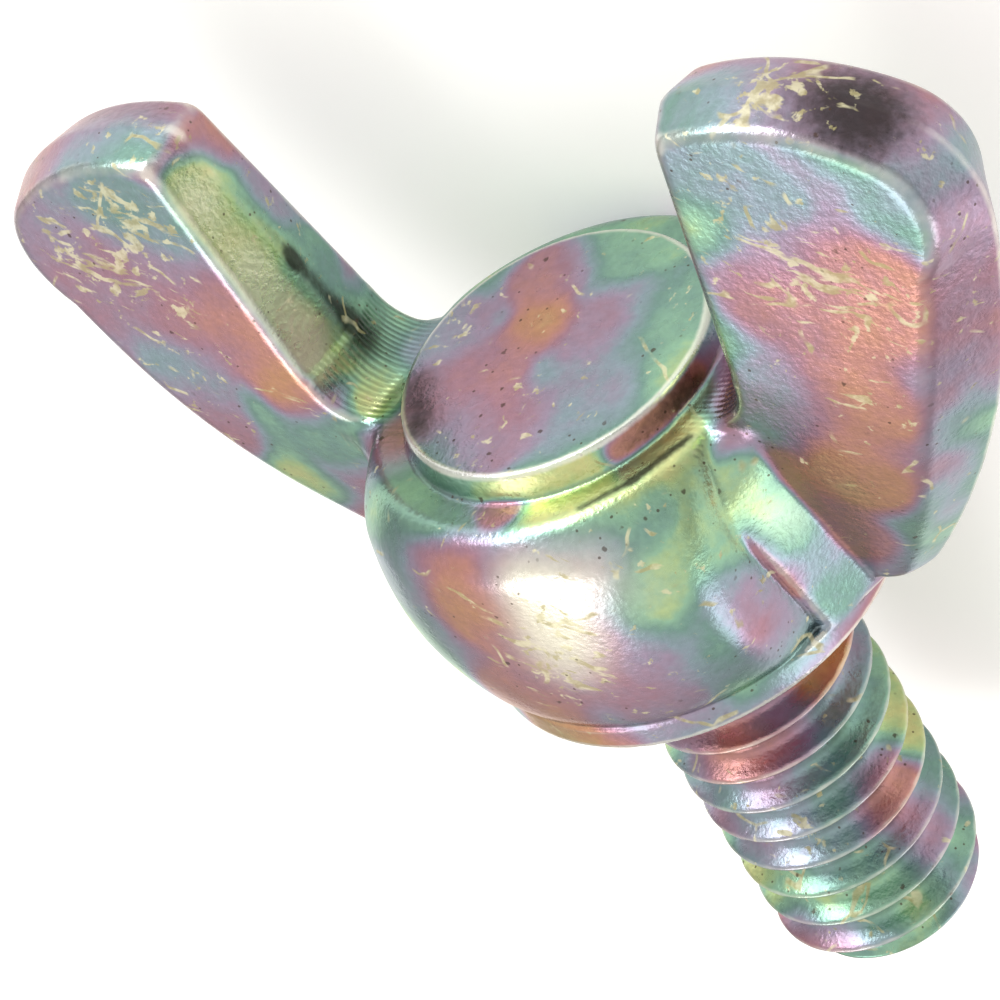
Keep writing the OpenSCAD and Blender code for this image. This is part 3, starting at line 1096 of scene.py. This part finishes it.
@dataclass(frozen=True)
class Chromate:
    """Zinc plate under a yellow chromate film.

    The bright zinc is a metal mirror blurred by the forging. The film on it is about as thick as light
    is long, so it shows bands from yellow through orange, pink, mauve, blue-grey, teal and green, and
    round again. Dried passivate leaves khaki flakes and runs, and the film is thin on the edges, which
    are rubbed to bare zinc and carry a painted highlight. Painted shade darkens creases, thread roots,
    the die's grooves and painted dark reflections, and a painted highlight pales the film where the
    skin's numbers say.
    """

    name: str = "zinc_yellow_chromate"
    turns: tuple[tuple[float, str], ...] = (
        (0.00, "#C2C58B"),
        (0.10, "#C1A579"),
        (0.20, "#BA8B6D"),
        (0.30, "#B5837C"),
        (0.42, "#A27C8B"),
        (0.54, "#9A8BA0"),
        (0.64, "#8A99A4"),
        (0.75, "#75958D"),
        (0.86, "#8CB399"),
        (0.94, "#ABC18C"),
        (1.00, "#C2C58B"),
    )
    island: Cloud = Cloud(5.0, 1.5)  # the film's own clouds, where the skin doesn't say
    islands: Rise = Rise(0.28, 0.72, 0.8)
    thinnest: float = 0.2  # thinnest film in them, in turns
    broad: Cloud = Cloud(1.8, 2.0)  # clouds that stir the film everywhere,
    broad_turns: float = 0.26  # by this many turns
    fine: Cloud = Cloud(0.25, 3.0)  # and finer ones,
    fine_turns: float = 0.09  # by this many

    # painted shade colour: painted dark reflections, shade in creases and thread roots, and the die lines'
    # grooves
    painted_shade: str = "#2A2620"
    painted_shade_rag: Cloud = Cloud(0.22, 3.0)  # clouds that break up the rim of painted shade
    painted_shade_ragged: float = 0.5
    painted_shade_rise: Rise = Rise(0.1, 1.0, 0.9)  # cover of painted shade, by the painted light number
    crease_shade_rise: Rise = Rise(-2.5, -8.0, 0.5)  # cover of painted shade in creases, by the bend of a crease
    die_line: tuple[float, ...] = (1.9, 0.9, 1.0, 0.5)  # scale, distortion, detail and its scale
    die_dark: float = 0.7  # how dark the lines are painted, as shade in their grooves
    # painted highlight colour, mixed in where the painted light number is below zero
    painted_highlight: str = "#F2EFDA"
    painted_highlight_rise: Rise = Rise(-0.05, -1.0, 0.9)  # cover of painted highlight, by the painted light number below zero

    mottle: Cloud = Cloud(0.2, 3.0)  # grain in the brightness
    mottle_from: tuple[float, float] = (0.3, 0.7)  # the cloud's spread
    mottle_to: tuple[float, float] = (0.93, 1.06)  # and the brightness that it gives
    flakes: DriedFlakes = DriedFlakes()
    pit: str = "#4A3A30"
    holes: tuple[PinHoles, PinHoles] = (PinHoles(1.5, 0.1), PinHoles(3.4, 0.13))
    hole_dark: float = 0.75
    # bare zinc colour, which also paints highlights along edges and thread crests
    zinc_and_highlight: str = "#F1EEE2"
    rub_and_highlight: Cloud = Cloud(0.6, 2.0)  # clouds that break up the rubbed and highlit edges
    rub_and_highlight_least: float = 0.35  # the least that an edge is rubbed and highlit
    rubbed_and_highlit: Rise = Rise(1.0, 4.2, 0.6)  # cover of bare zinc and painted edge highlight, by the bend of an edge

    roughness: float = 0.22
    smear: Cloud = Cloud(0.8, 2.0)  # clouds that smear the polish,
    smeared: float = 0.12  # by this much roughness
    flake_rough: float = 0.25  # roughness that flakes add
    flake_dull: float = 0.55  # and the shine that they take away
    grain: Cloud = Cloud(0.16, 2.0)  # fine grain of the relief
    wave: Cloud = Cloud(2.2, 1.0)  # the forging's slow waves,
    wave_high: float = 5.0  # this many times as high
    die_high: float = 4.0  # and the die's lines, this many times as high
    relief_m: float = 0.000012  # height of the grain, in metres

    def film(self, ground: Ground) -> Socket:
        """The film's colour.

        Args:
            ground: What the finish reads.

        Returns:
            The colour at the film's thickness, in turns round the bands: the skin's own film number
            where it holds and clouds elsewhere, stirred by finer clouds to either side.
        """
        tree, place, here = ground.tree, ground.place, ground.here
        cloud = add(tree, "TexNoise", self.island.at(place))
        cloud = add(tree, "MapRange", self.islands.of(cloud), **SMOOTH)
        cloud = add(tree, "Math", {0: cloud, 1: self.thinnest}, operation="ADD")
        kept = add(tree, "Math", {0: here["film"], 1: here["hold"]}, operation="MULTIPLY")
        loose = add(tree, "Math", {0: 1.0, 1: here["hold"]}, operation="SUBTRACT")
        rest = add(tree, "Math", {0: cloud, 1: loose}, operation="MULTIPLY")
        broad = add(tree, "TexNoise", self.broad.at(place))
        broad = add(tree, "Math", {0: broad, 1: self.broad_turns}, operation="MULTIPLY")
        fine = add(tree, "TexNoise", self.fine.at(place))
        fine = add(tree, "Math", {0: fine, 1: self.fine_turns}, operation="MULTIPLY")
        stirred = add(tree, "Math", {0: broad, 1: fine}, operation="ADD")
        middle = (self.broad_turns + self.fine_turns) / 2.0
        stirred = add(tree, "Math", {0: stirred, 1: middle}, operation="SUBTRACT")
        thickness = add(tree, "Math", {0: kept, 1: rest}, operation="ADD")
        thickness = add(tree, "Math", {0: thickness, 1: stirred}, operation="ADD")
        turn = add(tree, "Math", {0: thickness}, operation="FRACT")
        shown = add(tree, "ValToRGB", {"Fac": turn})
        stops = shown.node.color_ramp.elements
        for _ in range(len(self.turns) - len(stops)):
            stops.new(0.5)
        for stop, (at, code) in zip(stops, self.turns):
            stop.position = at
            stop.color = colour(code)
        return shown

    def painted_shade_cover(self, ground: Ground) -> Socket:
        """How far painted shade and painted dark reflections cover the film.

        Args:
            ground: What the finish reads.

        Returns:
            A rise with the skin's painted light number, to which clouds are added that break up its rim.
        """
        tree = ground.tree
        ragged = add(tree, "TexNoise", self.painted_shade_rag.at(ground.place))
        ragged = add(tree, "Math", {0: ragged, 1: self.painted_shade_ragged}, operation="MULTIPLY")
        painted_shade = add(tree, "Math", {0: ground.here["painted_light"], 1: ragged}, operation="ADD")
        painted_shade = add(tree, "Math", {0: painted_shade, 1: self.painted_shade_ragged / 2.0}, operation="SUBTRACT")
        return add(tree, "MapRange", self.painted_shade_rise.of(painted_shade), **SMOOTH)

    def die_lines(self, ground: Ground) -> Socket:
        """Lines that the die drew in the metal.

        Args:
            ground: What the finish reads.

        Returns:
            A wave in height, where the skin says that the die drew. Its bands lie pi / 10 of a
            millimetre over the scale apart, which is 0.165 mm.
        """
        tree = ground.tree
        names = ("Scale", "Distortion", "Detail", "Detail Scale")
        across = {"Vector": ground.place, **dict(zip(names, self.die_line))}
        lines = add(tree, "TexWave", across, "Fac", bands_direction="Z")
        return add(tree, "Math", {0: lines, 1: ground.here["drawn"]}, operation="MULTIPLY")

    def bare_and_highlight(self, ground: Ground, painted_shade: Socket) -> Socket:
        """How far the film is rubbed off to the zinc and painted as an edge highlight.

        Args:
            ground: What the finish reads.
            painted_shade: How far painted shade covers the film.

        Returns:
            A rise with the skin's bend, so it shows on outward edges, times a cloud that breaks it
            up, and none under painted shade.
        """
        tree = ground.tree
        rub_and_highlight = add(tree, "TexNoise", self.rub_and_highlight.at(ground.place))
        rub_and_highlight = add(tree, "Math", {0: rub_and_highlight, 1: self.rub_and_highlight_least}, operation="ADD")
        rub_and_highlight = add(tree, "Math", {0: ground.here["bend"], 1: rub_and_highlight}, operation="MULTIPLY")
        bare_and_highlight = add(tree, "MapRange", self.rubbed_and_highlit.of(rub_and_highlight), **SMOOTH)
        unshaded = add(tree, "Math", {0: 1.0, 1: painted_shade}, operation="SUBTRACT")
        return add(tree, "Math", {0: bare_and_highlight, 1: unshaded}, operation="MULTIPLY")

    def relief(self, ground: Ground, lines: Socket) -> Socket:
        """The skin's normal over relief that is too fine for the mesh.

        Args:
            ground: What the finish reads.
            lines: The die's lines.

        Returns:
            The normal over fine grain, the forging's slow waves and the die's lines.
        """
        tree = ground.tree
        wave = add(tree, "TexNoise", self.wave.at(ground.place))
        wave = add(tree, "Math", {0: wave, 1: self.wave_high}, operation="MULTIPLY")
        grain = add(tree, "TexNoise", self.grain.at(ground.place))
        height = add(tree, "Math", {0: grain, 1: wave}, operation="ADD")
        lines = add(tree, "Math", {0: lines, 1: self.die_high}, operation="MULTIPLY")
        height = add(tree, "Math", {0: height, 1: lines}, operation="ADD")
        return add(tree, "Bump", {"Strength": 1.0, "Distance": self.relief_m, "Height": height})

    def tint(self, ground: Ground, painted_shade: Socket, lines: Socket) -> Socket:
        """The film's colour with what lies in it.

        Args:
            ground: What the finish reads.
            painted_shade: How far painted shade covers the film.
            lines: The die's lines.

        Returns:
            The film's colour under painted shade, the die's lines darkened as painted shade in their
            grooves, painted highlight and painted shade in creases, its brightness mottled.
        """
        tree, here = ground.tree, ground.here
        dark = add(tree, "Math", {0: lines, 1: self.die_dark}, operation="MULTIPLY")
        painted_highlight = add(tree, "MapRange", self.painted_highlight_rise.of(here["painted_light"]), **SMOOTH)
        crease_shade = add(tree, "MapRange", self.crease_shade_rise.of(here["bend"]), **SMOOTH)
        shown = self.film(ground)
        # painted shade, the die lines' painted groove shade, painted highlight and painted shade in creases
        for share, code in ((painted_shade, self.painted_shade), (dark, self.painted_shade), (painted_highlight, self.painted_highlight), (crease_shade, self.painted_shade)):
            shown = add(tree, "Mix", {0: share, 6: shown, 7: colour(code)}, 2, data_type="RGBA")
        low, high = self.mottle_from
        dim, bright = self.mottle_to
        mottle = add(tree, "TexNoise", self.mottle.at(ground.place))
        spread = {"Value": mottle, "From Min": low, "From Max": high, "To Min": dim, "To Max": bright}
        return add(tree, "HueSaturation", {"Color": shown, "Value": add(tree, "MapRange", spread)})

    def cover(self, ground: Ground, shown: Socket, painted_shade: Socket, stain: Socket) -> Socket:
        """A colour with what lies over the film.

        Args:
            ground: What the finish reads.
            shown: The film's colour.
            painted_shade: How far painted shade covers the film.
            stain: How far flakes cover it.

        Returns:
            The colour under khaki flakes, dark pinholes and edges rubbed to the bare zinc, which also
            paint edge highlights.
        """
        tree = ground.tree
        coarse, small = (hole.layer(ground) for hole in self.holes)
        pit = add(tree, "Math", {0: coarse, 1: small}, operation="MAXIMUM")
        pit = add(tree, "Math", {0: pit, 1: self.hole_dark}, operation="MULTIPLY")
        # bare zinc on rubbed edges, partly wear and partly painted edge highlight
        bare_and_highlight = self.bare_and_highlight(ground, painted_shade)
        khaki = self.flakes.khaki(ground)
        for share, top in ((stain, khaki), (pit, colour(self.pit)), (bare_and_highlight, colour(self.zinc_and_highlight))):
            shown = add(tree, "Mix", {0: share, 6: shown, 7: top}, 2, data_type="RGBA")
        return shown

    def gloss(self, ground: Ground, stain: Socket) -> tuple[Socket, Socket]:
        """How metallic and how rough the skin is.

        Args:
            ground: What the finish reads.
            stain: How far flakes cover the film.

        Returns:
            Metallic and roughness. Flakes are duller and rougher, and clouds smear the polish.
        """
        tree = ground.tree
        dull = add(tree, "Math", {0: stain, 1: self.flake_dull}, operation="MULTIPLY")
        metal = add(tree, "Math", {0: 1.0, 1: dull}, operation="SUBTRACT")
        rough = add(tree, "Math", {0: stain, 1: self.flake_rough}, operation="MULTIPLY")
        rough = add(tree, "Math", {0: self.roughness, 1: rough}, operation="ADD")
        smear = add(tree, "TexNoise", self.smear.at(ground.place))
        smear = add(tree, "Math", {0: smear, 1: self.smeared}, operation="MULTIPLY")
        return metal, add(tree, "Math", {0: rough, 1: smear}, operation="ADD")

    def make(self) -> bpy.types.Material:
        """The material.

        Returns:
            A metal that reads Object coordinates and the numbers that its mesh's vertices keep.
        """
        mat = bpy.data.materials.new(self.name)
        mat.use_nodes = True
        tree = mat.node_tree
        names = ("film", "hold", "painted_light", "stain", "bend", "drawn")
        here = {name: add(tree, "Attribute", {}, "Fac", attribute_name=name) for name in names}
        metres = add(tree, "TexCoord", {}, "Object")
        place = add(tree, "VectorMath", {0: metres, "Scale": 1.0 / MM}, operation="SCALE")
        ground = Ground(tree, place, here)
        painted_shade, lines, stain = self.painted_shade_cover(ground), self.die_lines(ground), self.flakes.layer(ground)
        shown = self.cover(ground, self.tint(ground, painted_shade, lines), painted_shade, stain)
        metal, rough = self.gloss(ground, stain)
        sockets = tree.nodes["Principled BSDF"].inputs
        tree.links.new(shown, sockets["Base Color"])
        tree.links.new(metal, sockets["Metallic"])
        tree.links.new(rough, sockets["Roughness"])
        tree.links.new(self.relief(ground, lines), sockets["Normal"])
        return mat


# --------------------------------------------------------------------------------------------------
# Floor, light and camera
# --------------------------------------------------------------------------------------------------


@dataclass(frozen=True)
class Softbox:
    """A square soft light: which way it lies from the bolt, its side in metres and its power in watts."""

    name: str
    towards: Triple
    size: float
    power: float


@dataclass
class Studio:
    """A plain pale floor, soft lights and the camera.

    The camera's spot, in millimetres, and its right and up are in the bolt's frame. The softboxes
    stand light_way metres off.
    """

    pose: Pose
    spot: Triple = (50.057, -47.488, 58.034)
    right: Triple = (0.79902, 0.40675, -0.44286)
    up: Triple = (-0.01609, 0.7507, 0.66045)
    lens_mm: float = 124.6
    sensor_mm: float = 36.0
    nearest: float = 0.005
    floor_half: float = 0.6
    floor_colour: str = "#F4F4F2"
    floor_roughness: float = 0.9
    floor_glow: float = 0.2
    sky_colour: str = "#FFFDF8"
    sky_rise: float = 0.7
    sky_glow: tuple[float, float] = (0.55, 1.1)
    light_way: float = 0.3
    softboxes: tuple[Softbox, ...] = (
        Softbox("key", (0.45, -0.75, 0.42), 0.09, 0.14),
        Softbox("front", (0.31, -0.93, 0.19), 0.1, 0.3),
        Softbox("above", (0.26, 0.3, 0.9), 0.13, 0.14),
        Softbox("back", (-0.72, 0.67, 0.24), 0.12, 0.1),
    )

    def camera(self) -> None:
        """A camera at the viewing angle, placed in the bolt's frame and turned into the part's."""
        back = np.cross(self.right, self.up)
        spot = self.pose.place(np.array([self.spot]))[0]
        axes = self.pose.turn(np.array([self.right, self.up, back]))
        data = bpy.data.cameras.new("camera")
        data.lens = self.lens_mm
        data.sensor_width = self.sensor_mm
        data.clip_start = self.nearest
        obj = bpy.data.objects.new("camera", data)
        grid = np.eye(4)
        grid[:3, :3] = axes.T
        grid[:3, 3] = spot
        obj.matrix_world = Matrix(grid.tolist())
        bpy.context.scene.collection.objects.link(obj)
        bpy.context.scene.camera = obj

    def floor(self) -> None:
        """A wide pale sheet under the bolt, a little lit from below as a light table is."""
        mesh = bpy.data.meshes.new("floor")
        s = self.floor_half
        mesh.from_pydata([(-s, -s, 0), (s, -s, 0), (s, s, 0), (-s, s, 0)], [], [(0, 1, 2, 3)])
        obj = bpy.data.objects.new("floor", mesh)
        bpy.context.scene.collection.objects.link(obj)
        mat = bpy.data.materials.new("pale_floor")
        mat.use_nodes = True
        sockets = mat.node_tree.nodes["Principled BSDF"].inputs
        sockets["Base Color"].default_value = colour(self.floor_colour)
        sockets["Roughness"].default_value = self.floor_roughness
        sockets["Emission Color"].default_value = colour("#FFFFFF")
        sockets["Emission Strength"].default_value = self.floor_glow
        obj.data.materials.append(mat)

    def hang(self, box: Softbox) -> None:
        """Hangs a softbox a short way off, aimed at the bolt.

        Args:
            box: The softbox.
        """
        data = bpy.data.lights.new(box.name, "AREA")
        data.shape = "SQUARE"
        data.size = box.size
        data.energy = box.power
        obj = bpy.data.objects.new(box.name, data)
        way = Vector(box.towards).normalized()
        obj.location = way * self.light_way
        obj.rotation_euler = way.to_track_quat("Z", "Y").to_euler()
        bpy.context.scene.collection.objects.link(obj)

    def lights(self) -> None:
        """A surround that is brighter overhead than at the horizon, and the softboxes."""
        bpy.context.scene.view_settings.view_transform = "Standard"
        world = bpy.data.worlds.new("world")
        world.use_nodes = True
        tree = world.node_tree
        height = add(tree, "SeparateXYZ", {0: add(tree, "TexCoord", {}, "Generated")}, "Z")
        low, high = self.sky_glow
        sky = {"Value": height, "From Min": 0.0, "From Max": self.sky_rise, "To Min": low, "To Max": high}
        sockets = tree.nodes["Background"].inputs
        tree.links.new(add(tree, "MapRange", sky, **SMOOTH), sockets["Strength"])
        sockets["Color"].default_value = colour(self.sky_colour)
        bpy.context.scene.world = world
        for box in self.softboxes:
            self.hang(box)


def main() -> None:
    """Builds the bolt and the studio."""
    logging.basicConfig(level=logging.INFO, format="%(name)s: %(message)s")
    low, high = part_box(NODE)
    head, shank = ForgedHead(), RolledShank()
    shank_len = shank.thread_len + shank.point_len
    pose = Pose(rise=(high[2] - low[2]) / 2.0 / MM, shift=(head.wing.top_h - shank_len) / 2.0)
    maker = Maker(pose)
    chromate = Chromate().make()
    forged = maker.forged(head, Film(LEFT_WING + RIGHT_WING + BOSS + HUB))
    rolled = maker.rolled(shank, Film(SHANK))
    for piece in (forged, rolled):
        piece.data.materials.append(chromate)
        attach(piece, BODY)
        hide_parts(NODE)
        LOG.info("%s: %d faces", piece.name, len(piece.data.polygons))
    studio = Studio(pose)
    studio.floor()
    studio.lights()
    studio.camera()


if __name__ == "__main__":
    main()
